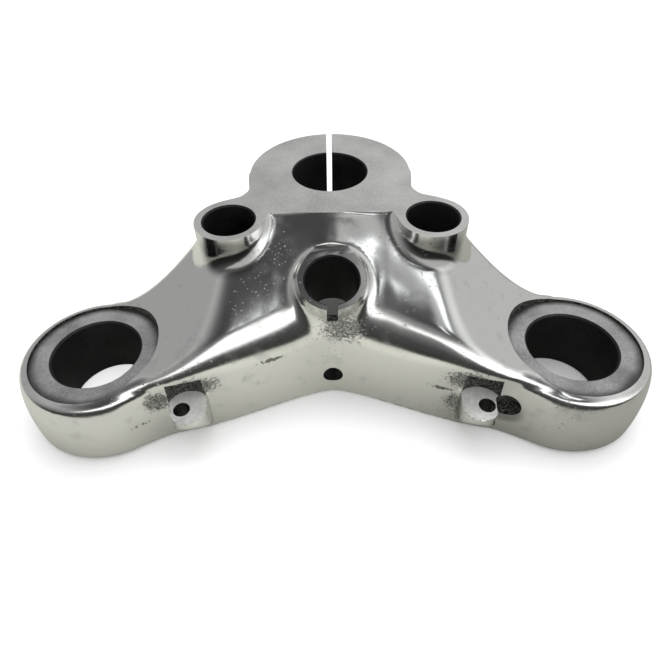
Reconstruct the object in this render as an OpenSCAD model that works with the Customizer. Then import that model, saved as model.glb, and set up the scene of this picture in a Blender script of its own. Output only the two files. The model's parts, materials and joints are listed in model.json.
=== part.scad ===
// Top yoke of a motorcycle fork: one polished aluminium casting.
// Frame: origin on the stem bore axis in the flat top face, +X across,
// -Y to the front (fork side), +Z up along the bores. Units are mm.
// The modules build upwards from the underside, and top_yoke() moves the
// finished casting down so that its top face lies at zero height.

/* [Layout] */
// distance between the two fork bores
fork_spacing = 178.5; // [150:0.5:210]
// distance of the fork bores in front of the stem bore
fork_offset = 65.3; // [55:0.1:75]
// height of the flat top face above the fork seats
seat_drop = 36.7; // [30:0.1:42]
// length of each fork bore, from the underside up to its seat
fork_len = 26.5; // [22:0.5:32]

/* [Fork lugs] */
// fork bore diameter
fork_bore_d = 32.6; // [28:0.1:36]
// diameter of the round recess above each fork seat
recess_d = 48.8; // [46:0.1:50.5]
// radial width of the rim round the recess
rim_w = 2.4; // [1.5:0.1:4]
// height of the rim above the fork seat
rim_h = 0.8; // [0.3:0.1:2]
// how much wider the lug is at its foot than at its rim, in radius
lug_flare = 4; // [2:0.1:5]
// rounding of the lug's lower edge
lug_foot_r = 2.5; // [1:0.5:6]

/* [Stem lug] */
// stem bore diameter
stem_bore_d = 30.1; // [26:0.1:33]
// outside diameter of the stem lug
stem_d = 65.2; // [60:0.1:72]
// height of the stem lug
stem_h = 38; // [34:0.5:46]
// width of the slit in the stem lug's rear wall
slit_w = 2.4; // [1.5:0.1:4]
// pinch bolt hole diameter
pinch_d = 8.5; // [6:0.1:10.5]
// depth of the pinch bolt axis below the top face
pinch_drop = 20; // [14:0.5:26]
// diameter of the spot faces for the pinch bolt
pinch_face_d = 17; // [14:0.5:20]
// distance of each spot face from the slit
pinch_grip = 15; // [11:0.5:18]

/* [Handlebar lugs] */
// distance between the two handlebar lug bores
riser_spacing = 75.1; // [66:0.1:80]
// distance of these bores in front of the stem bore
riser_offset = 33.7; // [30:0.1:37]
// bore diameter of each lug
riser_bore_d = 19; // [14:0.1:21]
// wall of each lug round its bore
riser_wall = 3.3; // [2.5:0.1:6]
// height of each lug
riser_h = 32; // [26:0.5:38]

// depth of the web between the stem lug and these lugs
neck_h = 18; // [12:0.5:24]

/* [Cast body] */
// wall of the hollow underside
wall_t = 6.5; // [5:0.1:9]
// distance of the front wall in front of the stem bore, at the middle
front_mid = 64.6; // [60:0.1:70]
// how much farther forward the front wall stands at the arms
front_sweep = 21; // [16:0.5:24]
// height of the front wall's upper corner at the arms
brow_h = 36; // [32:0.5:40]
// extra height of that corner at the middle
brow_mid = 4; // [0:0.5:8]
// rounding of the front upper corner
brow_r = 8; // [4:0.5:10]
// rounding of the rear upper corner
back_r = 6; // [3:0.5:8]
// height the raw casting would reach above the underside at the stem
crown_h = 71.5; // [70:0.5:80]
// bulge of the roof above a straight line from front to rear
crown_bulge = 1.2; // [0:0.1:3]
// dip of each arm's top beside its fork lug, below that straight line
arm_dip = 4.5; // [0:0.1:6]

/* [Lock boss] */
// lock bore diameter
lock_bore_d = 19.4; // [16:0.1:21]
// wall of the lock boss
lock_wall = 2.4; // [2:0.1:4]
// distance of the lock mouth in front of the stem bore
lock_offset = 56; // [52:0.5:60]
// height of the lock mouth's centre above the underside
lock_h = 52.7; // [48:0.1:56]
// forward lean of the lock boss in degrees
lock_lean = 19.6; // [10:0.1:26]
// length of the lock bore
lock_len = 32; // [28:0.5:38]
// slot in the front of the lock boss, width
lock_slot_w = 3.9; // [2.5:0.1:6]
// slot in the front of the lock boss, depth
lock_slot_h = 8.5; // [5:0.5:12]

/* [Front details] */
// hole in the middle of the front wall, diameter
nose_hole_d = 7.8; // [5:0.1:9]
// its height above the underside
nose_hole_h = 10.6; // [9:0.1:14]
// distance between the two small lugs on the front wall
tab_spacing = 109; // [100:0.5:114]
// how far each small lug's hole stands in front of the wall
tab_reach = 4; // [3:0.1:7]
// height of the small lug's flat top
tab_h = 19.5; // [14:0.5:22]
// rounding radius of the small lug's nose
tab_r = 6.6; // [5:0.1:8]
// how far the small lug's middle lies inwards of its hole
tab_shift = 2.4; // [0:0.1:3]
// height of the pocket in the wall above the small lug
tab_pocket_h = 8.5; // [4:0.5:10]
// thickness of the small lug at its nose
tab_t = 3; // [2:0.1:5]
// diameter of the hole in each small lug
tab_hole_d = 6; // [4:0.1:7]

/* [Hidden] */
$fn = 72;
half = fork_spacing / 2;
seat_z = fork_len;
top_z = seat_z + seat_drop;
recess_r = recess_d / 2;
rim_r = recess_r + rim_w;
lug_r = rim_r + lug_flare;
stem_z = top_z - stem_h;
riser_r = riser_bore_d / 2 + riser_wall;
riser_x = riser_spacing / 2;
lock_r = lock_bore_d / 2 + lock_wall;
tab_x = tab_spacing / 2;
tab_y = -(front_y(tab_x) + tab_reach);
eps = 0.01;
metal = [0.76, 0.77, 0.78];

// smooth step from 1 at a to 0 at b
function ease(x, a, b) =
    x <= a ? 1 : x >= b ? 0 : (1 + cos(180 * (x - a) / (b - a))) / 2;

// distance of the front wall in front of the stem bore, at x across
function front_y(x) =
    front_mid + front_sweep * pow(sin(90 * min(1, x / (half * 0.84))), 1.4);

// distance of the rear wall in front of the stem bore, at x across
function rear_y(x) =
    stem_d * 0.215 + (fork_offset - recess_r - rim_w * 2 - stem_d * 0.215)
    * pow(1 - ease(x, half * 0.27, half * 0.985), 0.7);

// height of the front upper corner and of the rear one, at x across
function brow_z(x) =
    seat_z + 1 + (brow_h - seat_z - 1) * ease(x, half * 0.4, half * 1.03)
    + brow_mid * ease(x, 0, half * 0.22);
function ridge_z(x) =
    seat_z + 1 + (crown_h - seat_z - 1)
    * pow(ease(x, half * 0.22, half * 1.1), 1.15);

// swell of the roof above a straight line, negative where it dips
function roof_swell(x) =
    crown_bulge - (crown_bulge + arm_dip) * (1 - ease(x, half * 0.42, half * 0.74));

// height of the rear wall's lower edge, at x across
function skirt_z(x) = stem_z * ease(x, half * 0.3, half * 0.85);

// points of a rounded corner at b between the directions to a and to c
function corner(a, b, c, r, n) =
    let (u = (a - b) / norm(a - b), v = (c - b) / norm(c - b),
         h = acos(max(-1, min(1, u * v))) / 2,
         m = b + (u + v) / norm(u + v) * r / sin(h),
         p = b + u * r / tan(h), q = b + v * r / tan(h),
         s = atan2(p[1] - m[1], p[0] - m[0]),
         e0 = atan2(q[1] - m[1], q[0] - m[0]) - s,
         e = e0 > 180 ? e0 - 360 : e0 < -180 ? e0 + 360 : e0)
    [for (i = [0 : n]) m + r * [cos(s + e * i / n), sin(s + e * i / n)]];

// outer half of the body's profile at x across, from its front foot over
// the roof to its rear foot, as [y, z]; t moves it inwards by that much
roof_n = 7;
function half_profile(x, t) =
    let (yf = -front_y(x) + t, yr = -rear_y(x) - t,
         zf = brow_z(x), zr = ridge_z(x), zs = skirt_z(x),
         k = (zr - zf) / (front_y(x) - rear_y(x)), dz = t * sqrt(1 + k * k),
         a = [yf, 1.5], b = [yf + 1, zf + k * (t + 1) - dz],
         c = [yr, zr - k * t - dz], d = [yr, zs],
         rb = brow_r * (0.55 + 0.45 * ease(x, half * 0.3, half * 0.8)),
         f = corner(a, b, c, t > 0 ? 3 : rb, 6),
         g = corner(b, c, d, t > 0 ? 3 : back_r, 4),
         p = f[6], q = g[0])
    concat(
        t > 0 ? [[yf, 0], [yf, 0.7], a] : [[yf + 0.8, 0], [yf + 0.25, 0.3], a],
        f,
        [for (i = [1 : roof_n - 1]) let (s = i / roof_n)
            p + (q - p) * s + [0, roof_swell(x) * 4 * s * (1 - s)]],
        g,
        [[yr, zs + (zr - dz - back_r - zs) * 0.4], d]);

// the cast body, lofted through its hollow profiles from arm to arm
module cast_body() {
    reach = half - 1;
    lid = top_z - wall_t;
    nx = 42;
    m = len(half_profile(0, 0));
    pts = [for (i = [0 : nx]) let (x = reach * (2 * i / nx - 1), ax = abs(x),
        o = half_profile(ax, 0), n = half_profile(ax, wall_t))
        each concat([for (p = o) [x, p[0], p[1]]],
            [for (p = n) [x, p[0], min(lid, p[1])]])];
    // quads along one strip from profile index a to b, and between ends
    skin = [for (i = [0 : nx - 1], j = [0 : m - 2])
        let (a = i * 2 * m + j, b = a + 2 * m) each [
            [a, b + 1, b], [a, a + 1, b + 1],
            [a + m, b + m, b + m + 1], [a + m, b + m + 1, a + m + 1]]];
    feet = [for (i = [0 : nx - 1]) let (a = i * 2 * m, b = a + 2 * m) each [
        [a, b + m, a + m], [a, b, b + m],
        [a + m - 1, b + 2 * m - 1, b + m - 1],
        [a + m - 1, a + 2 * m - 1, b + 2 * m - 1]]];
    ends = [for (j = [0 : m - 2]) let (a = j, b = nx * 2 * m + j) each [
        [a, a + m + 1, a + 1], [a, a + m, a + m + 1],
        [b, b + 1, b + m + 1], [b, b + m + 1, b + m]]];
    polyhedron(points = pts, faces = concat(skin, feet, ends), convexity = 8);
}

// one fork lug, a barrel that widens towards its foot
module fork_lug() {
    n = 5;
    rise = seat_z + rim_h;
    rotate_extrude($fn = 60) polygon(concat(
        [[0, 0], [lug_r - lug_foot_r - 0.6, 0]],
        [for (i = [1 : 3]) let (a = 30 * i - 90)
            [lug_r - lug_foot_r - 0.6 + lug_foot_r * cos(a),
             lug_foot_r + lug_foot_r * sin(a)]],
        [for (i = [1 : n]) let (t = i / n)
            [rim_r + (lug_r - rim_r) * cos(90 * t)
                - 0.6 * (1 - t) * (1 - t),
             lug_foot_r + (rise - 0.6 - lug_foot_r) * sin(90 * t)]],
        [[rim_r - 0.6, rise], [0, rise]]));
}

// lock boss along its own leaning axis, with a flared foot
module lock_boss() {
    flare = 5;
    translate([0, -lock_offset, lock_h]) rotate([lock_lean, 0, 0])
    rotate_extrude($fn = 48) polygon(concat(
        [[0, 0], [lock_r - 0.6, 0], [lock_r, -0.6], [lock_r, -6]],
        [for (i = [1 : 4])
            [lock_r + flare * (1 - cos(22.5 * i)), -6 - flare * sin(22.5 * i)]],
        [[lock_r + flare, -18], [lock_r, -24], [lock_r, -lock_len],
         [0, -lock_len]]));
}

// one handlebar lug with a small flare where it meets the roof
module riser_lug() {
    translate([0, 0, top_z - riser_h])
        cylinder(r = riser_r, h = riser_h - 0.5);
    translate([0, 0, top_z - 0.5 - eps])
        cylinder(r1 = riser_r, r2 = riser_r - 0.4, h = 0.5 + eps);
}

// small drilled lug on the front wall, with a sloping web below
module front_tab() {
    hull() {
        translate([0, 0, tab_h - tab_t])
            cylinder(r = tab_r, h = tab_t + 0.5, $fn = 40);
        translate([1 - tab_r, tab_reach + 1, 2])
            cube([tab_r * 2 - 2, 2.5, tab_h - 1.5]);
    }
}

// flat web that joins the stem lug to the handlebar lugs
module neck() {
    r = stem_d / 2;
    y = riser_offset - riser_r + 0.4;
    side = corner([r - 0.9, -2], [r - 1, -y], [riser_x, -y], 4.5, 4);
    edge = concat([[0, 0], [r - 0.9, -2]], side,
        [[riser_x, -y], [riser_x + 4, -riser_offset],
         [riser_x - 4, -riser_offset], [riser_x - riser_r - 1, 4 - riser_offset],
         [riser_x - riser_r - 5, 7 - riser_offset], [0, 7 - riser_offset]]);
    for (s = [0, 1]) mirror([s, 0, 0])
        translate([0, 0, top_z - neck_h])
            linear_extrude(neck_h + 1) polygon(edge);
}

// everything that is added before the machining
module raw_casting() {
    cast_body();
    translate([0, 0, stem_z]) cylinder(d = stem_d, h = stem_h, $fn = 120);
    for (s = [-1, 1]) {
        translate([s * half, -fork_offset, 0]) fork_lug();
        translate([s * riser_x, -riser_offset, 0]) riser_lug();
        translate([s * (tab_x - tab_shift), tab_y, 0]) rotate([0, 0, -s * 10]) front_tab();
    }
    neck();
    lock_boss();
}

// bores and recess of one fork lug
module fork_cuts() {
    translate([0, 0, seat_z]) cylinder(r = recess_r, h = top_z, $fn = 96);
    translate([0, 0, -1]) cylinder(d = fork_bore_d, h = top_z, $fn = 96);
}

// pinch bolt hole across the slit and its two spot faces
module pinch_cuts() {
    y = (stem_bore_d + stem_d) / 4;
    translate([0, y, top_z - pinch_drop]) rotate([0, 90, 0]) {
        cylinder(d = pinch_d, h = stem_d, center = true, $fn = 48);
        for (s = [-1, 1]) translate([0, 0, s * (pinch_grip + stem_d / 2)])
            cylinder(d = pinch_face_d, h = stem_d, center = true, $fn = 48);
    }
}

// lock bore, its slot and the clearance above its mouth
module lock_cuts() {
    translate([0, -lock_offset, lock_h]) rotate([lock_lean, 0, 0]) {
        translate([0, 0, -lock_len - 20])
            cylinder(d = lock_bore_d, h = lock_len + 50, $fn = 72);
        translate([-lock_slot_w / 2, -lock_r - 2, -lock_slot_h])
            cube([lock_slot_w, lock_r + 2, lock_slot_h + 2]);
    }
}

module top_yoke() {
    color(metal) translate([0, 0, -top_z]) difference() {
        raw_casting();
        // flat top face
        translate([-fork_spacing, -fork_spacing, top_z])
            cube([fork_spacing * 2, fork_spacing * 2, crown_h]);
        // stem bore, slit and pinch bolt
        translate([0, 0, -1]) cylinder(d = stem_bore_d, h = top_z + 2, $fn = 96);
        translate([-slit_w / 2, 0, -1]) cube([slit_w, stem_d, top_z + 2]);
        pinch_cuts();
        for (s = [-1, 1]) {
            translate([s * half, -fork_offset, 0]) fork_cuts();
            translate([s * riser_x, -riser_offset, -1])
                cylinder(d = riser_bore_d, h = top_z + 2, $fn = 72);
            translate([s * tab_x, tab_y, -1]) cylinder(d = tab_hole_d, h = tab_h + 6, $fn = 40);
            translate([s * (tab_x - tab_shift), tab_y, tab_h])
                cylinder(r = tab_r + 1.8, h = tab_pocket_h, $fn = 48);
        }
        lock_cuts();
        // hole in the middle of the front wall
        translate([0, -front_mid + wall_t * 2, nose_hole_h]) rotate([90, 0, 0])
            cylinder(d = nose_hole_d, h = wall_t * 4, $fn = 40);
    }
}

top_yoke();
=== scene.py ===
"""Photographic scene of a polished motorcycle top yoke.

The casting is described as a signed distance field in millimetres, meshed by
surface nets, and then machined by Geometry Nodes booleans: each cutter is a
turned or boxed shape, and the paired ones are placed left and right by
instancing. The frame has its origin on the stem bore axis in the flat top
face, +X across, -Y to the front and +Z up.
"""

from __future__ import annotations

import json
import logging
import math
from dataclasses import dataclass
from enum import Enum
from typing import Any, Callable, Sequence

import bpy
import numpy as np
from mathutils import Matrix, Vector

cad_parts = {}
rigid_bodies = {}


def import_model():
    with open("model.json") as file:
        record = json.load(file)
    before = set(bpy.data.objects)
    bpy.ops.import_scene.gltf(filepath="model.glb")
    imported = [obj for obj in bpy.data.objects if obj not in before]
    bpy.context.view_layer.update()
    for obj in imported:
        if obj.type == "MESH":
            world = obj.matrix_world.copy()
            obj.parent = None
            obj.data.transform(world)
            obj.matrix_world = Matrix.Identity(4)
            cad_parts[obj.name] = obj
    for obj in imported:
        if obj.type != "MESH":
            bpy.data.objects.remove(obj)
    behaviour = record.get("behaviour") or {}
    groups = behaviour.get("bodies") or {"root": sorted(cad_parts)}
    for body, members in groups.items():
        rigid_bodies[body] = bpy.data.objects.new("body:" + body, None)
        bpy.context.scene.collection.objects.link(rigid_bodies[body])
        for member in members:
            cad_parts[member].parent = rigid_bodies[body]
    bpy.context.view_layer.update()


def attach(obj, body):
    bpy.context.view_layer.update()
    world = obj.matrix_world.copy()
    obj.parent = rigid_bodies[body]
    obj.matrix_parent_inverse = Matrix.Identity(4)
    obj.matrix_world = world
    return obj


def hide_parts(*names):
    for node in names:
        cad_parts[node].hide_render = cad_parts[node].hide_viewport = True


LOG = logging.getLogger("top_yoke")
MM = 0.001
Array = np.ndarray
Triple = tuple[float, float, float]


# Sizes
@dataclass(frozen=True)
class Dims:
    """Driving sizes in millimetres.

    They are the CAD source's, apart from rim_w and lug_flare, which follow
    the rubbed rims of the photo, and the dome and the scoop, which only this
    script has.
    """

    fork_spacing: float = 178.5
    fork_offset: float = 65.3
    seat_drop: float = 36.7
    fork_len: float = 26.5
    fork_bore_d: float = 32.6
    recess_d: float = 48.8
    rim_w: float = 1.3
    rim_h: float = 0.8
    lug_flare: float = 5.1
    lug_foot_r: float = 2.5
    arm_tip: float = 4.8
    stem_bore_d: float = 30.1
    stem_d: float = 65.2
    stem_h: float = 38.0
    slit_w: float = 2.4
    pinch_d: float = 8.5
    pinch_drop: float = 20.0
    pinch_face_d: float = 17.0
    pinch_grip: float = 15.0
    riser_spacing: float = 75.1
    riser_offset: float = 33.7
    riser_bore_d: float = 19.0
    riser_wall: float = 3.3
    riser_h: float = 32.0
    neck_h: float = 18.0
    wall_t: float = 6.5
    front_mid: float = 64.6
    front_sweep: float = 21.0
    brow_h: float = 36.0
    brow_mid: float = 4.0
    brow_r: float = 8.0
    back_r: float = 6.0
    crown_h: float = 71.5
    crown_bulge: float = 1.2
    arm_dip: float = 4.5
    dome: float = 5.5
    dome_reach: float = 34.0
    dome_drop: float = 6.65
    drop_reach: float = 32.0
    lock_bore_d: float = 19.4
    lock_wall: float = 2.4
    lock_offset: float = 56.0
    lock_h: float = 52.7
    lock_lean: float = 19.6
    lock_len: float = 32.0
    lock_slot_w: float = 3.9
    lock_slot_h: float = 8.5
    nose_hole_d: float = 7.8
    nose_hole_h: float = 10.6
    tab_spacing: float = 109.0
    tab_reach: float = 4.0
    tab_h: float = 19.5
    tab_r: float = 6.6
    tab_shift: float = 2.4
    tab_turn: float = -10.0
    tab_pocket_h: float = 8.5
    tab_pocket_gap: float = 1.8
    tab_t: float = 3.0
    tab_hole_d: float = 6.0
    scoop_x: float = 62.0
    scoop_z: float = -47.0

    @property
    def half(self) -> float:
        """Distance of a fork bore from the middle plane."""
        return self.fork_spacing / 2

    @property
    def top_z(self) -> float:
        """Height of the flat top face above the underside."""
        return self.fork_len + self.seat_drop

    @property
    def tab_x(self) -> float:
        """Distance of a small lug's hole from the middle plane."""
        return self.tab_spacing / 2

    @property
    def tab_y(self) -> float:
        """Y of a small lug's hole."""
        return -(self.front_at(self.tab_x) + self.tab_reach)

    def front_at(self, x: float) -> float:
        """Return the front wall's distance in front of the stem bore at x."""
        return float(front_y(self, np.array(x)))


@dataclass(frozen=True)
class Bends:
    """Where the body's lines bend, as shares of the way to a fork bore.

    rear_start is a share of the stem lug's width instead, soft_least is a
    share of the front corner's radius, and the powers have no unit.
    """

    front_end: float = 0.84
    front_power: float = 1.4
    rear_start: float = 0.215
    rear_from: float = 0.27
    rear_to: float = 0.985
    rear_power: float = 0.7
    brow_from: float = 0.4
    brow_to: float = 1.03
    brow_mid_to: float = 0.22
    ridge_from: float = 0.22
    ridge_to: float = 1.1
    ridge_power: float = 1.15
    dip_from: float = 0.42
    dip_to: float = 0.74
    skirt_from: float = 0.3
    skirt_to: float = 0.85
    soft_from: float = 0.3
    soft_to: float = 0.8
    soft_least: float = 0.55


@dataclass(frozen=True)
class Radii:
    """Cast fillets and rounded edges in millimetres.

    A fork lug's fillet has lug_rear behind, and lug_more on top of it in
    front.
    """

    crown: float = 4.2
    web: float = 3.0
    web_plan: float = 4.5
    riser: float = 1.2
    lug_rear: float = 2.2
    lug_more: float = 3.2
    lock: float = 4.6
    tab: float = 1.4
    inside: float = 3.0
    lip: float = 1.0
    rim_edge: float = 1.6
    riser_edge: float = 0.6
    lock_edge: float = 0.8
    edge: float = 0.7


BENDS = Bends()
RADII = Radii()


# Lines of the body across the part
def ease(x: Array, a: float, b: float) -> Array:
    """Return a smooth step from 1 at a to 0 at b.

    Args:
        x: Positions.
        a: Where the step starts.
        b: Where the step ends.

    Returns:
        Values from 1 to 0.
    """
    t = np.clip((x - a) / (b - a), 0.0, 1.0)
    return (1 + np.cos(np.pi * t)) / 2


def front_y(d: Dims, x: Array) -> Array:
    """Return the front wall's distance in front of the stem bore at |x|."""
    t = np.minimum(1.0, x / (d.half * BENDS.front_end))
    return d.front_mid + d.front_sweep * np.sin(np.pi / 2 * t) ** BENDS.front_power


def rear_y(d: Dims, x: Array) -> Array:
    """Return the rear wall's distance in front of the stem bore at |x|.

    Args:
        d: Driving sizes.
        x: Distances from the middle plane.

    Returns:
        Distances in mm.
    """
    start = d.stem_d * BENDS.rear_start
    end = d.fork_offset - d.recess_d / 2 - d.arm_tip
    share = 1 - ease(x, d.half * BENDS.rear_from, d.half * BENDS.rear_to)
    return start + (end - start) * share**BENDS.rear_power


def brow_z(d: Dims, x: Array) -> Array:
    """Return the height of the front upper corner at |x|.

    Args:
        d: Driving sizes.
        x: Distances from the middle plane.

    Returns:
        Heights above the underside.
    """
    base = d.fork_len + 1
    climb = ease(x, d.half * BENDS.brow_from, d.half * BENDS.brow_to)
    middle = ease(x, 0.0, d.half * BENDS.brow_mid_to)
    return base + (d.brow_h - base) * climb + d.brow_mid * middle


def ridge_z(d: Dims, x: Array) -> Array:
    """Return the height of the rear upper corner at |x|.

    Args:
        d: Driving sizes.
        x: Distances from the middle plane.

    Returns:
        Heights above the underside.
    """
    base = d.fork_len + 1
    climb = ease(x, d.half * BENDS.ridge_from, d.half * BENDS.ridge_to) ** BENDS.ridge_power
    return base + (d.crown_h - base) * climb - d.dome_drop * ease(x, 0.0, d.drop_reach)


def roof_swell(d: Dims, x: Array) -> Array:
    """Return the roof's swell above a straight line, negative where it dips.

    Args:
        d: Driving sizes.
        x: Distances from the middle plane.

    Returns:
        Swell in mm, halfway between the front and the rear corner.
    """
    fade = 1 - ease(x, d.half * BENDS.dip_from, d.half * BENDS.dip_to)
    dome = d.dome * ease(x, 0.0, d.dome_reach)
    return d.crown_bulge - (d.crown_bulge + d.arm_dip) * fade + dome


def skirt_z(d: Dims, x: Array) -> Array:
    """Return the height of the rear wall's lower edge at |x|."""
    climb = ease(x, d.half * BENDS.skirt_from, d.half * BENDS.skirt_to)
    return (d.top_z - d.stem_h) * climb


# Distance field
def join(a: Array, b: Array, r: float | Array) -> Array:
    """Return the union of two fields with a concave fillet.

    Args:
        a: First field.
        b: Second field.
        r: Radius of the fillet.

    Returns:
        The field of both.
    """
    u = np.maximum(r - a, 0.0)
    v = np.maximum(r - b, 0.0)
    return np.maximum(r, np.minimum(a, b)) - np.sqrt(u * u + v * v)


def meet(a: Array, b: Array, r: float | Array) -> Array:
    """Return the intersection of two fields with a convex rounding.

    Args:
        a: First field.
        b: Second field.
        r: Radius of the rounding.

    Returns:
        The field of what they share.
    """
    u = np.maximum(r + a, 0.0)
    v = np.maximum(r + b, 0.0)
    return np.minimum(-r, np.maximum(a, b)) + np.sqrt(u * u + v * v)


def disc(x: Array, y: Array, cx: float, cy: float, r: float) -> Array:
    """Return the plan distance to a circle of radius r around (cx, cy)."""
    return np.hypot(x - cx, y - cy) - r


def rect(x: Array, y: Array, lo: Sequence[float], hi: Sequence[float]) -> Array:
    """Return the plan distance to a rectangle.

    Args:
        x: Positions across.
        y: Positions along.
        lo: Its lowest corner.
        hi: Its highest corner.

    Returns:
        Distances, negative inside.
    """
    dx = np.abs(x - (lo[0] + hi[0]) / 2) - (hi[0] - lo[0]) / 2
    dy = np.abs(y - (lo[1] + hi[1]) / 2) - (hi[1] - lo[1]) / 2
    out = np.hypot(np.maximum(dx, 0), np.maximum(dy, 0))
    return out + np.minimum(np.maximum(dx, dy), 0)


class Casting:
    """Signed distance field of the raw casting, built from its underside.

    Both halves are the same, so all but the lock boss is described at |x|.
    """

    SPARE = 2.0  # mm of metal above a face that is cut later
    CAP = 1.6  # mm of metal above the top face that nothing passes
    TAB_SPARE = 0.5
    STEM_TRIM_Y = -22.0  # in front of here the stem lug stays under the roof
    STEM_TRIM_DEPTH = 5.0  # mm under the roof
    NO_TRIM = -20.0  # a field that cuts nothing away
    LAP = 1.0  # how far pieces reach into each other
    WEB_INSET = 0.4
    WEB_SIDE_LAP = 4.0
    WEB_EAR_LAP = 6.0
    WEB_REAR_Y = -2.0
    LUG_BLEND = (-14.0, 2.0)  # Y from the fork bores, between which the fillet shrinks
    FLARE_END = 0.995
    FLARE_TUCK = 0.6
    FLARE_SLOPE = 0.97  # brings the flared wall's field back to a distance
    SLOPE_STEP = 0.5
    FOOT_SLOPE = 1.0  # mm that the front wall leans back from foot to corner

    def __init__(self, dims: Dims) -> None:
        """Keep the sizes."""
        self.d = dims

    def __call__(self, p: Array) -> Array:
        """Return the field at points, in mm above the underside.

        Args:
            p: Points of shape (..., 3), with z measured from the underside.

        Returns:
            Field values, negative inside.
        """
        d = self.d
        x, y, z = np.abs(p[..., 0]), p[..., 1], p[..., 2]
        body, roof = self._body(x, y, z)
        out = join(body, self._crown(x, y, z, roof), RADII.crown)
        near, far = (at - d.fork_offset for at in self.LUG_BLEND)
        blend = RADII.lug_rear + RADII.lug_more * ease(y, near, far)
        out = join(out, self._lug(x, y, z), blend)
        out = join(out, self._lock(p), RADII.lock)
        out = join(out, self._tab(x, y, z), RADII.tab)
        return meet(np.maximum(out, z - d.top_z - self.CAP), -z, RADII.edge)

    def _slope(self, line: Callable[[Dims, Array], Array], x: Array) -> Array:
        """Return how fast a line of the body moves at |x|.

        Args:
            line: The line's function.
            x: Distances from the middle plane.

        Returns:
            Change in mm for each mm across.
        """
        h = self.SLOPE_STEP
        return (line(self.d, x + h) - line(self.d, np.abs(x - h))) / (2 * h)

    def _layer(self, z: Array, height: float) -> Array:
        """Return the distance to a layer that hangs from the top face."""
        top = self.d.top_z
        return np.maximum(z - top - self.SPARE, top - height - z)

    def _body(self, x: Array, y: Array, z: Array) -> tuple[Array, Array]:
        """Return the hollow body between the two arms.

        Args:
            x: Distances from the middle plane.
            y: Positions along.
            z: Heights above the underside.

        Returns:
            The field of the body, and that of its roof alone.
        """
        d = self.d
        yf, yr = -front_y(d, x), -rear_y(d, x)
        zf, zr, zs = brow_z(d, x), ridge_z(d, x), skirt_z(d, x)
        lean = np.cos(np.arctan(self._slope(front_y, x)))
        tilt = np.cos(np.arctan(self._slope(rear_y, x)))
        k = (zr - zf) / (yr - yf)
        t = np.clip((y - yf) / (yr - yf), 0, 1)
        fall = np.abs(self._slope(ridge_z, x)) * t
        slope = np.sqrt(1 + k * k + fall * fall)
        roof = zf + k * (y - yf) + roof_swell(d, x) * 4 * t * (1 - t)
        foot = self.FOOT_SLOPE * np.clip(z / np.maximum(zf, 1), 0, 1)
        front = (yf + foot - y) * lean
        rear = (y - yr) * tilt
        top = (z - roof) / slope
        ends = ease(x, d.half * BENDS.soft_from, d.half * BENDS.soft_to)
        soft = d.brow_r * (BENDS.soft_least + (1 - BENDS.soft_least) * ends)
        outer = meet(meet(front, top, soft), rear, d.back_r)
        low = np.where(y > (yf + yr) / 2, zs - z, -z)
        outer = meet(outer, np.maximum(low, x - d.half), RADII.lip)
        lid = np.minimum(roof - d.wall_t * slope, d.top_z - d.wall_t)
        walls = meet(front + d.wall_t, rear + d.wall_t, RADII.inside)
        inner = meet(walls, z - lid, RADII.inside)
        return meet(outer, -inner, RADII.lip), top

    def _crown(self, x: Array, y: Array, z: Array, roof: Array) -> Array:
        """Return the stem lug with the web and the handlebar lugs.

        Args:
            x: Distances from the middle plane.
            y: Positions along.
            z: Heights above the underside.
            roof: Field of the body's roof.

        Returns:
            The field of the three together.
        """
        d = self.d
        stem = disc(x, y, 0, 0, d.stem_d / 2)
        stem = meet(stem, self._layer(z, d.stem_h), RADII.lip)
        trim = np.where(y < self.STEM_TRIM_Y, roof + self.STEM_TRIM_DEPTH, self.NO_TRIM)
        stem = np.maximum(stem, trim)
        barrel_r = d.riser_bore_d / 2 + d.riser_wall
        barrel = disc(x, y, d.riser_spacing / 2, -d.riser_offset, barrel_r)
        riser = meet(barrel, self._layer(z, d.riser_h), RADII.riser_edge)
        return join(join(stem, self._web(x, y, z), RADII.web), riser, RADII.riser)

    def _web(self, x: Array, y: Array, z: Array) -> Array:
        """Return the flat web between the stem lug and the handlebar lugs.

        Args:
            x: Distances from the middle plane.
            y: Positions along.
            z: Heights above the underside.

        Returns:
            The field of the web.
        """
        d, lap = self.d, self.LAP
        back = d.riser_offset - d.riser_bore_d / 2 - d.riser_wall + self.WEB_INSET
        side_x, ear_x = d.stem_d / 2 - lap, d.riser_spacing / 2 + lap
        side = rect(x, y, (-lap, -back - self.WEB_SIDE_LAP), (side_x, self.WEB_REAR_Y))
        ear = rect(x, y, (-lap, -d.riser_offset + self.WEB_EAR_LAP), (ear_x, -back))
        plan = join(side, ear, RADII.web_plan)
        return meet(plan, self._layer(z, d.neck_h), RADII.lip)

    def _lug(self, x: Array, y: Array, z: Array) -> Array:
        """Return a fork lug, a barrel that widens to its foot.

        Args:
            x: Distances from the middle plane.
            y: Positions along.
            z: Heights above the underside.

        Returns:
            The field of the lug.
        """
        d = self.d
        rise = d.fork_len + d.rim_h
        t = np.clip((z - d.lug_foot_r) / (rise - d.lug_foot_r), 0, 1)
        flare = d.lug_flare * np.sqrt(1 - np.minimum(t, self.FLARE_END) ** 2)
        r = d.recess_d / 2 + d.rim_w + flare
        r = r - self.FLARE_TUCK * (1 - np.arcsin(t) * 2 / np.pi) ** 2
        wall = disc(x, y, d.half, -d.fork_offset, 0) - r
        wall = meet(wall * self.FLARE_SLOPE, -z, d.lug_foot_r)
        return meet(wall, z - rise, RADII.rim_edge)

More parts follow.
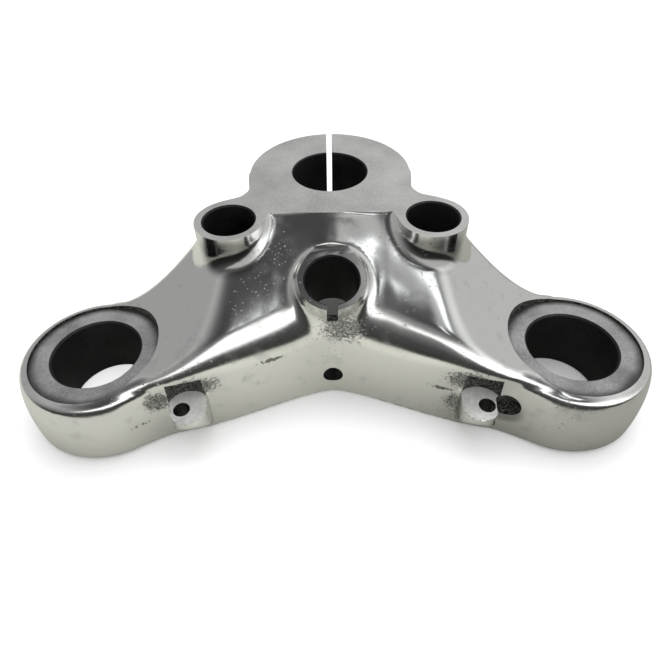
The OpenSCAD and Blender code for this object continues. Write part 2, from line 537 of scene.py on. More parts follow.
    def _lock(self, p: Array) -> Array:
        """Return the leaning lock boss, a little longer than its mouth.

        Args:
            p: Points of shape (..., 3), with z measured from the underside.

        Returns:
            The field of the boss.
        """
        d = self.d
        a = math.radians(d.lock_lean)
        v, w = p[..., 1] + d.lock_offset, p[..., 2] - d.lock_h
        up = v * -math.sin(a) + w * math.cos(a)
        fore = v * math.cos(a) + w * math.sin(a)
        wall = np.hypot(p[..., 0], fore) - d.lock_bore_d / 2 - d.lock_wall
        return meet(wall, np.maximum(up - self.SPARE, -d.lock_len - up), RADII.lock_edge)

    def _tab(self, x: Array, y: Array, z: Array) -> Array:
        """Return a small drilled lug with a sloping web below.

        Args:
            x: Distances from the middle plane.
            y: Positions along.
            z: Heights above the underside.

        Returns:
            The field of the lug.
        """
        d = self.d
        a = math.radians(d.tab_turn)
        du, dv = x - d.tab_x + d.tab_shift, y - d.tab_y
        u, v = du * math.cos(a) + dv * math.sin(a), dv * math.cos(a) - du * math.sin(a)
        root = rect(u, v, (-d.tab_r, 0), (d.tab_r, d.tab_reach + 4))
        plan = np.minimum(disc(u, v, 0, 0, d.tab_r), root)
        run = d.tab_reach + 1 + d.tab_r
        fall = d.tab_h - d.tab_t - 2
        steep = run / math.hypot(run, fall)
        under = (d.tab_h - d.tab_t - (v + d.tab_r) * fall / run - z) * steep
        return meet(plan, np.maximum(z - d.tab_h - self.TAB_SPARE, under), RADII.edge)


# Meshing
class SurfaceNets:
    """Turns a field into a closed quad mesh with one vertex per cell."""

    CORNERS = [(i, j, k) for i in (0, 1) for j in (0, 1) for k in (0, 1)]
    SETTLE_ROUNDS = 3
    SETTLE_PROBE = 0.05  # mm to each side for the gradient
    SETTLE_MOST = 0.3  # longest step
    SETTLE_FLAT = 0.25  # least square of the gradient

    def __init__(
        self, field: Callable[[Array], Array], lo: Triple, hi: Triple, step: float
    ) -> None:
        """Prepare the grid.

        Args:
            field: Function of points, negative inside.
            lo: Lowest corner in mm.
            hi: Highest corner in mm.
            step: Grid step in mm.
        """
        self.field = field
        self.lo = np.array(lo, float)
        self.step = step
        self.shape = tuple(int(math.ceil(s)) + 1 for s in (np.array(hi) - self.lo) / step)

    def build(self) -> tuple[Array, Array]:
        """Mesh the field.

        Returns:
            The vertices in mm and the quads.
        """
        axes = [self.lo[i] + self.step * np.arange(self.shape[i]) for i in range(3)]
        grid = np.empty(self.shape)
        for i, x in enumerate(axes[0]):
            yy, zz = np.meshgrid(axes[1], axes[2], indexing="ij")
            grid[i] = self.field(np.stack([np.full_like(yy, x), yy, zz], -1))
        inside = grid < 0
        n = [s - 1 for s in self.shape]
        count = np.zeros(n, int)
        for c in self.CORNERS:
            count += inside[c[0] : n[0] + c[0], c[1] : n[1] + c[1], c[2] : n[2] + c[2]]
        cells = np.argwhere((count > 0) & (count < len(self.CORNERS)))
        index = np.full(n, -1, np.int64)
        index[tuple(cells.T)] = np.arange(len(cells))
        spots = self._place(grid, cells)
        verts = self._settle(self.lo + spots * self.step)
        return verts, self._quads(inside, index)

    def _place(self, grid: Array, cells: Array) -> Array:
        """Put a vertex into each cell, at the mean of its edge crossings.

        Args:
            grid: Field values at the grid's points.
            cells: Indices of the cells that the surface crosses.

        Returns:
            The vertices in grid steps.
        """
        total = np.zeros((len(cells), 3))
        hits = np.zeros(len(cells))
        for a in self.CORNERS:
            for axis in range(3):
                if a[axis]:
                    continue
                b = list(a)
                b[axis] = 1
                fa = grid[tuple((cells + a).T)]
                fb = grid[tuple((cells + b).T)]
                cross = (fa < 0) != (fb < 0)
                t = np.where(cross, fa / np.where(cross, fa - fb, 1), 0)
                at = cells + np.array(a, float)
                at[:, axis] += t
                total += at * cross[:, None]
                hits += cross
        return total / hits[:, None]

    def _gradient(self, p: Array) -> Array:
        """Return the field's gradient by central differences.

        Args:
            p: Points in mm.

        Returns:
            One vector for each point.
        """
        e = self.SETTLE_PROBE
        sides = e * np.eye(3)
        return np.stack([(self.field(p + a) - self.field(p - a)) / (2 * e) for a in sides], -1)

    def _settle(self, p: Array) -> Array:
        """Move vertices onto the zero surface by damped Newton steps.

        Args:
            p: Vertices in mm.

        Returns:
            The moved vertices.
        """
        for _ in range(self.SETTLE_ROUNDS):
            f, g = self.field(p), self._gradient(p)
            s = f / np.maximum((g * g).sum(-1), self.SETTLE_FLAT)
            p = p - g * np.clip(s, -self.SETTLE_MOST, self.SETTLE_MOST)[:, None]
        return p

    def _quads(self, inside: Array, index: Array) -> Array:
        """Make one quad for each grid edge that crosses the surface.

        Args:
            inside: Which of the grid's points are in the metal.
            index: Each cell's vertex, or -1.

        Returns:
            Rows of four vertices.
        """
        out = []
        for axis in range(3):
            u, v = (axis + 1) % 3, (axis + 2) % 3
            a = np.moveaxis(inside, (axis, u, v), (0, 1, 2))
            m = np.moveaxis(index, (axis, u, v), (0, 1, 2))
            flip = a[:-1, 1:-1, 1:-1] & ~a[1:, 1:-1, 1:-1]
            back = ~a[:-1, 1:-1, 1:-1] & a[1:, 1:-1, 1:-1]
            for mask, order in ((flip, (0, 1, 2, 3)), (back, (3, 2, 1, 0))):
                i, j, k = np.nonzero(mask)
                ring = [m[i, j, k], m[i, j + 1, k], m[i, j + 1, k + 1], m[i, j, k + 1]]
                out.append(np.stack([ring[o] for o in order], -1))
        return np.concatenate(out)


def add_object(name: str, data: bpy.types.ID) -> bpy.types.Object:
    """Return a new object in the scene.

    Args:
        name: Object name.
        data: Its mesh, light or camera.

    Returns:
        The object.
    """
    obj = bpy.data.objects.new(name, data)
    bpy.context.scene.collection.objects.link(obj)
    return obj


def mesh_object(name: str, verts: Array, faces: Array) -> bpy.types.Object:
    """Return a new mesh object in the scene.

    Args:
        name: Object name.
        verts: Vertex positions in metres.
        faces: Face index rows.

    Returns:
        The object.
    """
    mesh = bpy.data.meshes.new(name)
    mesh.from_pydata([tuple(v) for v in verts], [], [tuple(int(i) for i in f) for f in faces])
    mesh.validate()
    return add_object(name, mesh)


# Nodes
class Nodes:
    """Adds nodes of any type to a tree."""

    def __init__(self, tree: bpy.types.NodeTree) -> None:
        """Keep the tree."""
        self.tree = tree

    def add(self, kind: str, sockets: dict[str | int, Any] | None = None, **settings: Any) -> Any:
        """Add a node.

        Args:
            kind: Node type.
            sockets: Values or links of its inputs, by name or number.
            **settings: Properties of the node, set before its inputs.

        Returns:
            The new node.
        """
        node = self.tree.nodes.new(kind)
        for name, value in settings.items():
            setattr(node, name, value)
        for key, value in (sockets or {}).items():
            self.fill(node.inputs[key], value)
        return node

    def fill(self, slot: bpy.types.NodeSocket, value: Any) -> None:
        """Link an input to another socket, or give it a value.

        Args:
            slot: The input.
            value: A shader value, a socket, or what the input holds.
        """
        source = value.socket if isinstance(value, Val) else value
        if isinstance(source, bpy.types.NodeSocket):
            self.tree.links.new(source, slot)
        else:
            slot.default_value = source

    def value(self, kind: str, sockets: dict[str | int, Any] | None = None, **settings: Any) -> Val:
        """Return the first output of a new node, made as add makes it."""
        return Val(self, self.add(kind, sockets, **settings).outputs[0])


class Val:
    """A value in a node tree whose arithmetic adds the nodes it needs."""

    def __init__(self, nodes: Nodes, socket: bpy.types.NodeSocket) -> None:
        """Wrap a socket of a tree."""
        self.nodes, self.socket = nodes, socket

    def _math(self, op: str, *args: Val | float) -> Val:
        """Return the result of a Math node on the given inputs."""
        return self.nodes.value("ShaderNodeMath", dict(enumerate(args)), operation=op)

    def __add__(self, other: Val | float) -> Val:
        """Return the sum."""
        return self._math("ADD", self, other)

    def __radd__(self, other: float) -> Val:
        """Return the sum, with a number first."""
        return self._math("ADD", other, self)

    def __sub__(self, other: Val | float) -> Val:
        """Return the difference."""
        return self._math("SUBTRACT", self, other)

    def __rsub__(self, other: float) -> Val:
        """Return the difference, with a number first."""
        return self._math("SUBTRACT", other, self)

    def __mul__(self, other: Val | float) -> Val:
        """Return the product."""
        return self._math("MULTIPLY", self, other)

    def __rmul__(self, other: float) -> Val:
        """Return the product, with a number first."""
        return self._math("MULTIPLY", other, self)

    def __neg__(self) -> Val:
        """Return the value with its sign turned."""
        return self._math("MULTIPLY", self, -1.0)

    def __abs__(self) -> Val:
        """Return the value without its sign."""
        return self._math("ABSOLUTE", self)

    def most(self, other: Val) -> Val:
        """Return the larger of two values."""
        return self._math("MAXIMUM", self, other)

    def step(self, low: float, high: float) -> Val:
        """Return a smooth step from 0 at low to 1 at high.

        Args:
            low: Where the step starts, which may be the larger number.
            high: Where it ends.

        Returns:
            Values from 0 to 1.
        """
        span = {"Value": self, "From Min": low, "From Max": high, "To Min": 0.0, "To Max": 1.0}
        return self.nodes.value("ShaderNodeMapRange", span, interpolation_type="SMOOTHSTEP")


# Shading
class Grain(Enum):
    """Noise patterns, as features for each metre and octaves."""

    FIELD = (30.0, 1.0)
    RIPPLE = (48.0, 1.0)
    WIDE = (55.0, 4.0)
    STAIN = (130.0, 5.0)
    SCRATCH = (420.0, 3.0)
    SPOT = (800.0, 1.0)
    FINE = (900.0, 2.0)
    SPECK = (1150.0, 1.0)
    CRUST = (1300.0, 3.0)
    GRIT = (2300.0, 1.0)
    DUST = (2600.0, 2.0)


@dataclass(frozen=True)
class Spot:
    """An ellipsoid in the row frame, in mm."""

    centre: Triple
    size: Triple

    def mirrored(self) -> Spot:
        """Return the spot on the other side of the middle plane."""
        return Spot((-self.centre[0], *self.centre[1:]), self.size)


class Shade(Nodes):
    """Builds one Principled material from Object coordinates."""

    def __init__(self, name: str) -> None:
        """Create the material.

        Args:
            name: Material name.
        """
        self.mat = bpy.data.materials.new(name)
        self.mat.use_nodes = True
        super().__init__(self.mat.node_tree)
        self.bsdf = self.tree.nodes["Principled BSDF"]
        self.place = self.add("ShaderNodeTexCoord").outputs["Object"]

    def noise(self, grain: Grain, squash: Triple = (1, 1, 1)) -> Val:
        """Return noise in Object space.

        Args:
            grain: The pattern.
            squash: Stretch of the space before sampling.

        Returns:
            The noise value.
        """
        scale, detail = grain.value
        fit = self.value("ShaderNodeMapping", {"Vector": self.place, "Scale": squash})
        shape = {"Vector": fit, "Scale": scale, "Detail": detail}
        return self.value("ShaderNodeTexNoise", shape)

    def near(self, *spots: Spot) -> Val:
        """Return 1 in the middle of each spot, fading to 0 at its edge.

        Args:
            *spots: Places, of which the nearest counts.

        Returns:
            The value, negative outside the spots.
        """
        out = None
        for spot in spots:
            shift = tuple(-c / s for c, s in zip(spot.centre, spot.size))
            scale = tuple(1 / MM / s for s in spot.size)
            space = {"Vector": self.place, "Location": shift, "Scale": scale}
            fit = self.value("ShaderNodeMapping", space, vector_type="POINT")
            far = self.add("ShaderNodeVectorMath", {0: fit}, operation="LENGTH")
            here = 1 - Val(self, far.outputs["Value"])
            out = out.most(here) if out else here
        return out

    def near_both(self, spot: Spot) -> Val:
        """Return near for a spot and its mirror image."""
        return self.near(spot, spot.mirrored())

    def colour(self, low: Triple, high: Triple, at: Val) -> None:
        """Mix the base colour.

        Args:
            low: Colour at 0.
            high: Colour at 1.
            at: The mask.
        """
        ends = {0: at, 6: (*low, 1), 7: (*high, 1)}
        mix = self.add("ShaderNodeMix", ends, data_type="RGBA")
        self.set("Base Color", mix.outputs[2])

    def set(self, name: str, value: Any) -> None:
        """Set or link one input of the Principled node."""
        self.fill(self.bsdf.inputs[name], value)

    def bump(self, height: Val, strength: float, distance: float) -> None:
        """Link a bump to the surface.

        Args:
            height: Its height, where 1 is the distance.
            strength: How much of it shows.
            distance: Height in metres.
        """
        relief = {"Height": height, "Strength": strength, "Distance": distance}
        self.set("Normal", self.value("ShaderNodeBump", relief))


# Finishes
@dataclass(frozen=True)
class Finish:
    """A bored or milled face, with tones from low to high."""

    low: Triple
    high: Triple
    rough: float
    metal: float = 1.0
    relief: float = 0.6

    def material(self, name: str) -> bpy.types.Material:
        """Return the finish as a material.

        Args:
            name: Material name.

        Returns:
            The new material.
        """
        s = Shade(name)
        s.set("Metallic", self.metal)
        self.dress(s, s.noise(Grain.WIDE), s.noise(Grain.FINE))
        return s.mat

    def sheen(self, s: Shade, wide: Val) -> None:
        """Set a roughness that wanders a little around the finish's own."""
        s.set("Roughness", (wide - 0.5) * 0.2 + self.rough)

    def dress(self, s: Shade, wide: Val, fine: Val) -> None:
        """Give a shade the finish.

        Args:
            s: The shade.
            wide: Broad noise.
            fine: Fine noise.
        """
        spots = s.noise(Grain.SPOT).step(0.74, 0.80) * s.noise(Grain.FIELD).step(0.5, 0.6)
        tone = (wide * 0.9 + fine * 0.4).step(0.30, 0.90)
        s.colour(self.low, self.high, tone * (1 - spots))
        self.sheen(s, wide)
        s.bump(s.noise(Grain.DUST) * 0.6 + fine * 0.4, self.relief, 0.00025)


@dataclass(frozen=True)
class CrustAndPaintedShade(Finish):
    """Raw metal in recesses, with a crust in two tones, whose dark tones are
    also painted shade of the recess walls.
    """

    def dress(self, s: Shade, wide: Val, fine: Val) -> None:
        """Give a shade the finish.

        Args:
            s: The shade.
            wide: Broad noise.
            fine: Fine noise; not used.
        """
        crust = s.noise(Grain.CRUST).step(0.38, 0.66)
        s.colour(self.low, self.high, crust * 0.8 + (wide - 0.5) * 0.6)
        self.sheen(s, wide)
        s.bump(crust, 0.7, 0.0005)


@dataclass(frozen=True)
class Seated(Finish):
    """The fork seats, stained, with painted shade in the corner round each."""

    def dress(self, s: Shade, wide: Val, fine: Val) -> None:
        """Give a shade the finish.

        Args:
            s: The shade.
            wide: Broad noise.
            fine: Fine noise.
        """
        d = Dims()
        reach = d.recess_d / 2 + 0.5
        ring = s.near_both(Spot((d.half, -d.fork_offset, -d.seat_drop), (reach,) * 3))
        # painted shade: a dark ring in the corner where each seat meets its recess wall
        seat_corner_painted_shade = (ring + (wide - 0.5) * 0.12).step(0.17, 0.03) * ring.step(-0.5, -0.3)
        tone = (wide * 0.9 + fine * 0.3).step(0.35, 0.9) * 0.6 + 0.36
        s.colour(self.low, self.high, tone * (1 - seat_corner_painted_shade * 0.85))
        self.sheen(s, wide)
        s.bump(s.noise(Grain.DUST) * 0.4 + fine * 0.4, 0.5, 0.00025)


@dataclass(frozen=True)
class Polished(Finish):
    """The polished outside, which runs from high to low at pits, nicks,
    stains and rough patches, and with painted shade in the scoop and on the
    fronts of the handlebar lugs.
    """

    def rough_spots(self, d: Dims) -> tuple[Spot, ...]:
        """Return the raw patches by the small lugs and the front hole.

        Args:
            d: Driving sizes.

        Returns:
            The places.
        """
        x, y, top = d.tab_x, d.tab_y, d.top_z
        return (
            Spot((x - 7, y + 5, 25 - top), (11, 8, 6)),
            Spot((x - 9, y + 4, 12 - top), (8, 8, 7)),
            Spot((5 - x, y + 5, 24 - top), (13, 8, 6)),
            Spot((-9 - x, y + 3, 21 - top), (6, 8, 6)),
            Spot((3, -68.5, -26), (11, 9, 11)),
        )

    def dress(self, s: Shade, wide: Val, fine: Val) -> None:
        """Give a shade the finish.

        Args:
            s: The shade.
            wide: Broad noise.
            fine: Fine noise.
        """
        d = Dims()
        nicks = (
            Spot((-74, -84, -50), (9, 9, 1.6)),
            Spot((-22, -72, -36), (7, 9, 1.3)),
            Spot((40, -76, -45), (6, 9, 1.2)),
        )
        scoop = Spot((61, -88, -49), (9, 10, 9))
        riser_front = Spot((d.riser_spacing / 2, -d.riser_offset - 12, -7), (15, 11, 9))
        pits = s.noise(Grain.SPECK).step(0.68, 0.80) * wide.step(0.46, 0.60)
        stain = s.noise(Grain.STAIN).step(0.55, 0.72)
        grit = s.noise(Grain.GRIT).step(0.36, 0.62)
        nick = (s.near(*nicks) + (fine - 0.5) * 1.4).step(0.25, 0.5)
        rough = (s.near(*self.rough_spots(d)) + (fine - 0.5) * 1.1).step(0.05, 0.5)
        # painted shade in the scoop beside the right small lug
        hollow = (s.near(scoop) + (wide - 0.5) * 0.9).step(0.0, 0.35)
        # painted shade: darker fronts of the handlebar lugs
        riser_painted_shade = s.near_both(riser_front).step(0.0, 0.5)
        dark = (rough * (grit * 0.55 + 0.35)).most(pits * 0.6).most(nick * 0.8)
        dark = dark.most(hollow * 0.5).most(stain * 0.14).most(riser_painted_shade * 0.72)
        s.colour(self.high, self.low, dark)
        s.set("Roughness", (wide - 0.4) * 0.20 + self.rough + rough * 0.35 + stain * 0.10)
        scratch = s.noise(Grain.SCRATCH, (1.0, 0.12, 1.0)) * 0.02
        height = grit * rough * 0.2 + scratch + s.noise(Grain.DUST) * 0.008
        height = height - pits * 0.3 - nick * 0.4 + s.noise(Grain.RIPPLE) * 0.8
        s.bump(height, 0.6, 0.0004)


class Zone(Enum):
    """Finish zones of the machined casting."""

    POLISHED = Polished((0.05, 0.05, 0.045), (0.80, 0.80, 0.78), 0.12)
    SATIN = Finish((0.62, 0.62, 0.59), (0.95, 0.95, 0.92), 0.30, relief=0.25)
    # BORE is near black: painted shade inside the bores and holes
    BORE = Finish((0.006, 0.006, 0.006), (0.030, 0.030, 0.031), 0.45, 0.6)
    SEAT = Seated((0.08, 0.08, 0.078), (0.90, 0.90, 0.89), 0.42)
    # ROUGH: a real crust, darkened as painted shade on the recess walls
    ROUGH = CrustAndPaintedShade((0.03, 0.03, 0.028), (0.30, 0.30, 0.28), 0.55)
    FACE = Finish((0.32, 0.32, 0.31), (0.62, 0.62, 0.60), 0.5, 0.2)

    def material(self) -> bpy.types.Material:
        """Return the zone's material, made on first use."""
        name = self.name.lower()
        return bpy.data.materials.get(name) or self.value.material(name)


# Cutters
Outline = tuple[tuple[float, ...], ...]


@dataclass(frozen=True)
class Cutter:
    """One machining cut.

    Attributes:
        name: Name of the cut.
        profile: Turned outline as (radius, height) in mm, or two box corners.
        at: Place of its origin in the row frame, in mm.
        turn: Rotation about X and then Y in degrees.
        paired: Whether the cut is repeated on the other side.
        zone: Finish of the cut's faces.
        floor: Finish of its first flat end, if it differs.
    """

    name: str
    profile: Outline
    at: Triple = (0.0, 0.0, 0.0)
    turn: tuple[float, float] = (0.0, 0.0)
    paired: bool = False
    zone: Zone = Zone.BORE
    floor: Zone | None = None

    LARGE_R = 6.0
    SIDES_LARGE = 128
    SIDES_SMALL = 64

    def _box(self) -> tuple[list[Triple], list[tuple[int, ...]]]:
        """Span a box between the profile's two corners.

        Returns:
            The points and faces.
        """
        xs, ys, zs = zip(*self.profile)
        points = [(x, y, z) for x in xs for y in ys for z in zs]
        ends = [(0, 1, 3, 2), (4, 6, 7, 5)]
        sides = [(0, 4, 5, 1), (2, 3, 7, 6), (0, 2, 6, 4), (1, 5, 7, 3)]
        return points, ends + sides

    def _turned(self) -> tuple[list[Triple], list[tuple[int, ...]]]:
        """Turn the outline round its axis.

        Returns:
            The points and faces, with the lower and the upper end last.
        """
        large = max(r for r, _ in self.profile) > self.LARGE_R
        n = self.SIDES_LARGE if large else self.SIDES_SMALL
        angles = [2 * math.pi * i / n for i in range(n)]
        points = [(r * math.cos(a), r * math.sin(a), h) for r, h in self.profile for a in angles]
        faces = []
        for row in range(len(self.profile) - 1):
            low, up = row * n, (row + 1) * n
            for i in range(n):
                j = (i + 1) % n
                faces.append((low + i, low + j, up + j, up + i))
        faces.append(tuple(range(n - 1, -1, -1)))
        faces.append(tuple(range(len(points) - n, len(points))))
        return points, faces

    def build(self) -> bpy.types.Object:
        """Build the cutter.

        Returns:
            An object around the cutter's own origin.
        """
        boxed = len(self.profile[0]) == 3
        points, faces = self._box() if boxed else self._turned()
        rx, ry = (math.radians(a) for a in self.turn)
        spin = Matrix.Rotation(ry, 4, "Y") @ Matrix.Rotation(rx, 4, "X")
        mesh = bpy.data.meshes.new(self.name)
        mesh.from_pydata([tuple(spin @ Vector(p) * MM) for p in points], [], faces)
        mesh.materials.append(self.zone.material())
        if self.floor:
            mesh.materials.append(self.floor.material())
            mesh.polygons[len(faces) - 2].material_index = 1
        return add_object(self.name, mesh)


def rod(r: float, low: float, high: float) -> Outline:
    """Return the outline of a plain drill between two heights."""
    return ((r, low), (r, high))


def drill(r: float, low: float, chamfer: float, high: float) -> Outline:
    """Return the outline of a drill with a chamfer at height 0.

    Args:
        r: Radius of the bore.
        low: Height of its lower end.
        chamfer: Width and depth of the chamfer.
        high: Height of its upper end.

    Returns:
        The outline.
    """
    return ((r, low), (r, -chamfer), (r + chamfer, 0), (r + chamfer, high))


class Cuts:
    """The machining of the casting, each cut in the row frame."""

    CLEAR = 9.0  # how far most tools stand out of the metal
    FOOT, LIP = 0.6, 0.7  # edges of a fork bore

    def __init__(self, dims: Dims) -> None:
        """Keep the sizes."""
        self.d = dims

    def in_order(self) -> list[Cutter]:
        """Return all cuts, top face first."""
        return [*self.forks(), *self.crown(), *self.lock(), *self.front(), *self.pinch()]

    def forks(self) -> list[Cutter]:
        """Cut the top face and the seats and bores of the forks.

        Returns:
            The cuts.
        """
        d = self.d
        r, foot, lip = d.fork_bore_d / 2, self.FOOT, self.LIP
        bore = ((r + foot, -1), (r + foot / 2, foot / 2), (r, foot), (r, d.fork_len - lip),
                (r + lip, d.fork_len), (r + lip, d.fork_len + self.CLEAR))
        seat = (d.half, -d.fork_offset, -d.seat_drop)
        return [
            Cutter("top_face", ((-60, -70, 0), (60, 60, 30)), zone=Zone.SATIN),
            Cutter("fork_recess", rod(d.recess_d / 2, 0, 40), seat, paired=True,
                   zone=Zone.ROUGH, floor=Zone.SEAT),
            Cutter("fork_bore", bore, (*seat[:2], -d.top_z), paired=True),
        ]

    def crown(self) -> list[Cutter]:
        """Cut the stem bore, its slit and the handlebar bores.

        Returns:
            The cuts.
        """
        d = self.d
        under = -d.top_z - 2
        slit = ((-d.slit_w / 2, 0, -d.top_z - 1), (d.slit_w / 2, d.stem_d, 5))
        riser = (d.riser_spacing / 2, -d.riser_offset, 0)
        return [
            Cutter("stem_bore", drill(d.stem_bore_d / 2, under, 0.5, self.CLEAR)),
            Cutter("slit", slit),
            Cutter("riser_bore", drill(d.riser_bore_d / 2, under, 0.6, self.CLEAR), riser,
                   paired=True),
        ]

    def lock(self) -> list[Cutter]:
        """Cut the mouth, bore and slot of the lock boss.

        Returns:
            The cuts.
        """
        d = self.d
        mouth, lean = (0.0, -d.lock_offset, d.lock_h - d.top_z), (d.lock_lean, 0.0)
        r = d.lock_bore_d / 2
        slot = ((-d.lock_slot_w / 2, -r - d.lock_wall - 2, -d.lock_slot_h),
                (d.lock_slot_w / 2, 0, 4))
        return [
            Cutter("lock_mouth", rod(r + d.lock_wall + 3, 0, self.CLEAR), mouth, lean,
                   zone=Zone.POLISHED),
            Cutter("lock_bore", drill(r, -d.lock_len - 14, 0.5, 12), mouth, lean),
            Cutter("lock_slot", slot, mouth, lean, zone=Zone.ROUGH),
        ]

    def front(self) -> list[Cutter]:
        """Cut the front wall and its two small lugs.

        Returns:
            The cuts.
        """
        d = self.d
        forward = (90, 0)
        tab_z = d.tab_h - d.top_z
        scoop_r, scoop_mid_r, scoop_foot_r = 6.0, 5.0, 3.6
        scoop = ((scoop_foot_r, -2.6), (scoop_mid_r, -0.6), (scoop_r, self.CLEAR))
        return [
            Cutter("nose_hole", rod(d.nose_hole_d / 2, -14, 8),
                   (0, -d.front_mid, d.nose_hole_h - d.top_z), forward),
            Cutter("tab_pocket", rod(d.tab_r + d.tab_pocket_gap, 0, d.tab_pocket_h),
                   (d.tab_x - d.tab_shift, d.tab_y, tab_z), paired=True,
                   zone=Zone.ROUGH, floor=Zone.FACE),
            Cutter("tab_scoop", scoop, (d.scoop_x, -d.front_at(d.scoop_x), d.scoop_z), forward,
                   zone=Zone.ROUGH),
            Cutter("tab_hole", rod(d.tab_hole_d / 2, -d.top_z - 1, 0),
                   (d.tab_x, d.tab_y, tab_z + 6), paired=True),
        ]

    def pinch(self) -> list[Cutter]:
        """Cut the pinch bolt's hole and its two spot faces.

        Returns:
            The cuts.
        """
        d = self.d
        y = (d.stem_bore_d + d.stem_d) / 4
        across = (0, 90)
        return [
            Cutter("pinch_hole", rod(d.pinch_d / 2, -40, 40), (0, y, -d.pinch_drop), across),
            Cutter("pinch_face", rod(d.pinch_face_d / 2, 0, 30),
                   (d.pinch_grip, y, -d.pinch_drop), across, paired=True, zone=Zone.SEAT),
        ]


class Machining:
    """A Geometry Nodes group that subtracts cutters from the casting.

    The place of each cut is a named input of the group. The faces of a cut
    bring their own finish, so the group sets no material.
    """

    def __init__(self) -> None:
        """Create the empty group."""
        self.tree = bpy.data.node_groups.new("machining", "GeometryNodeTree")
        self.nodes = Nodes(self.tree)
        self.places: dict[str, tuple[float, ...]] = {}
        for way in ("INPUT", "OUTPUT"):
            self.tree.interface.new_socket("Geometry", in_out=way, socket_type="NodeSocketGeometry")
        self.stock = self.nodes.add("NodeGroupInput").outputs["Geometry"]

    def add(self, cut: Cutter, tool: bpy.types.Object) -> None:
        """Subtract a cutter, on both sides if it is paired.

        Args:
            cut: The cut's description.
            tool: The cutter's mesh object.
        """
        add = self.nodes.add
        named = self.tree.interface.new_socket(
            f"{cut.name} place", in_out="INPUT", socket_type="NodeSocketVector"
        )
        self.places[named.identifier] = tuple(v * MM for v in cut.at)
        here = add("NodeGroupInput").outputs[named.name]
        there = self.nodes.value("ShaderNodeVectorMath", {0: here, 1: (-1, 1, 1)},
                                 operation="MULTIPLY")
        ends = {"Count": 2 if cut.paired else 1, "Start Location": here, "Offset": there}
        line = add("GeometryNodeMeshLine", ends, mode="END_POINTS")
        shape = add("GeometryNodeObjectInfo", {"Object": tool})
        spread = {"Points": line.outputs["Mesh"], "Instance": shape.outputs["Geometry"]}
        if cut.paired and cut.turn[1]:
            turn = self.nodes.value("GeometryNodeInputIndex") * math.pi
            spread["Rotation"] = self.nodes.value("ShaderNodeCombineXYZ", {"Z": turn})
        placed = add("GeometryNodeInstanceOnPoints", spread).outputs["Instances"]
        real = add("GeometryNodeRealizeInstances", {"Geometry": placed}).outputs["Geometry"]
        pair = {"Mesh 1": self.stock, "Mesh 2": real}
        done = add("GeometryNodeMeshBoolean", pair, operation="DIFFERENCE", solver="MANIFOLD")
        self.stock = done.outputs["Mesh"]

    def apply(self, obj: bpy.types.Object) -> bpy.types.Mesh:
        """Machine an object.

        Args:
            obj: The raw casting.

        Returns:
            The machined mesh. The object keeps no modifier.
        """
        self.nodes.add("NodeGroupOutput", {"Geometry": self.stock})
        mod = obj.modifiers.new("machining", "NODES")
        mod.node_group = self.tree
        for identifier, place in self.places.items():
            mod[identifier] = place
        bpy.context.view_layer.update()
        graph = bpy.context.evaluated_depsgraph_get()
        mesh = bpy.data.meshes.new_from_object(obj.evaluated_get(graph))
        obj.modifiers.clear()
        return mesh


# Parts of the scene
@dataclass(frozen=True)
class Yoke:
    """The machined casting as one mesh, with the limits of its grid in mm."""

    dims: Dims
    step: float = 1.05
    side: float = 34.0
    shift: float = 0.4
    front: float = -100.7
    rear: float = 36.4
    below: float = 2.9
    above: float = 4.4
    sharp_angle: float = 38.0

    def _cast(self) -> bpy.types.Object:
        """Mesh the raw casting.

        Returns:
            The casting in the row frame.
        """
        reach, top = self.dims.half + self.side, self.dims.top_z
        low = (-reach - self.shift, self.front, -self.below)
        high = (reach, self.rear, top + self.above)
        verts, quads = SurfaceNets(Casting(self.dims), low, high, self.step).build()
        verts[:, 2] -= top
        LOG.info("casting: %d vertices, %d quads", len(verts), len(quads))
        obj = mesh_object("top_yoke_casting", verts * MM, quads)
        obj.data.materials.append(Zone.POLISHED.material())
        return obj

    def build(self) -> bpy.types.Object:
        """Cast and machine the yoke.

        Returns:
            The finished piece in the row frame.
        """
        obj = self._cast()
        machining = Machining()
        cuts = Cuts(self.dims).in_order()
        tools = [cut.build() for cut in cuts]
        for cut, tool in zip(cuts, tools):
            machining.add(cut, tool)
        obj.data = mesh = machining.apply(obj)
        for tool in tools:
            bpy.data.objects.remove(tool)
        mesh.polygons.foreach_set("use_smooth", [True] * len(mesh.polygons))
        mesh.set_sharp_from_angle(angle=math.radians(self.sharp_angle))
        finishes = [m.name for m in mesh.materials]
        LOG.info("%s: %d faces, finishes %s", obj.name, len(mesh.polygons), finishes)
        return obj


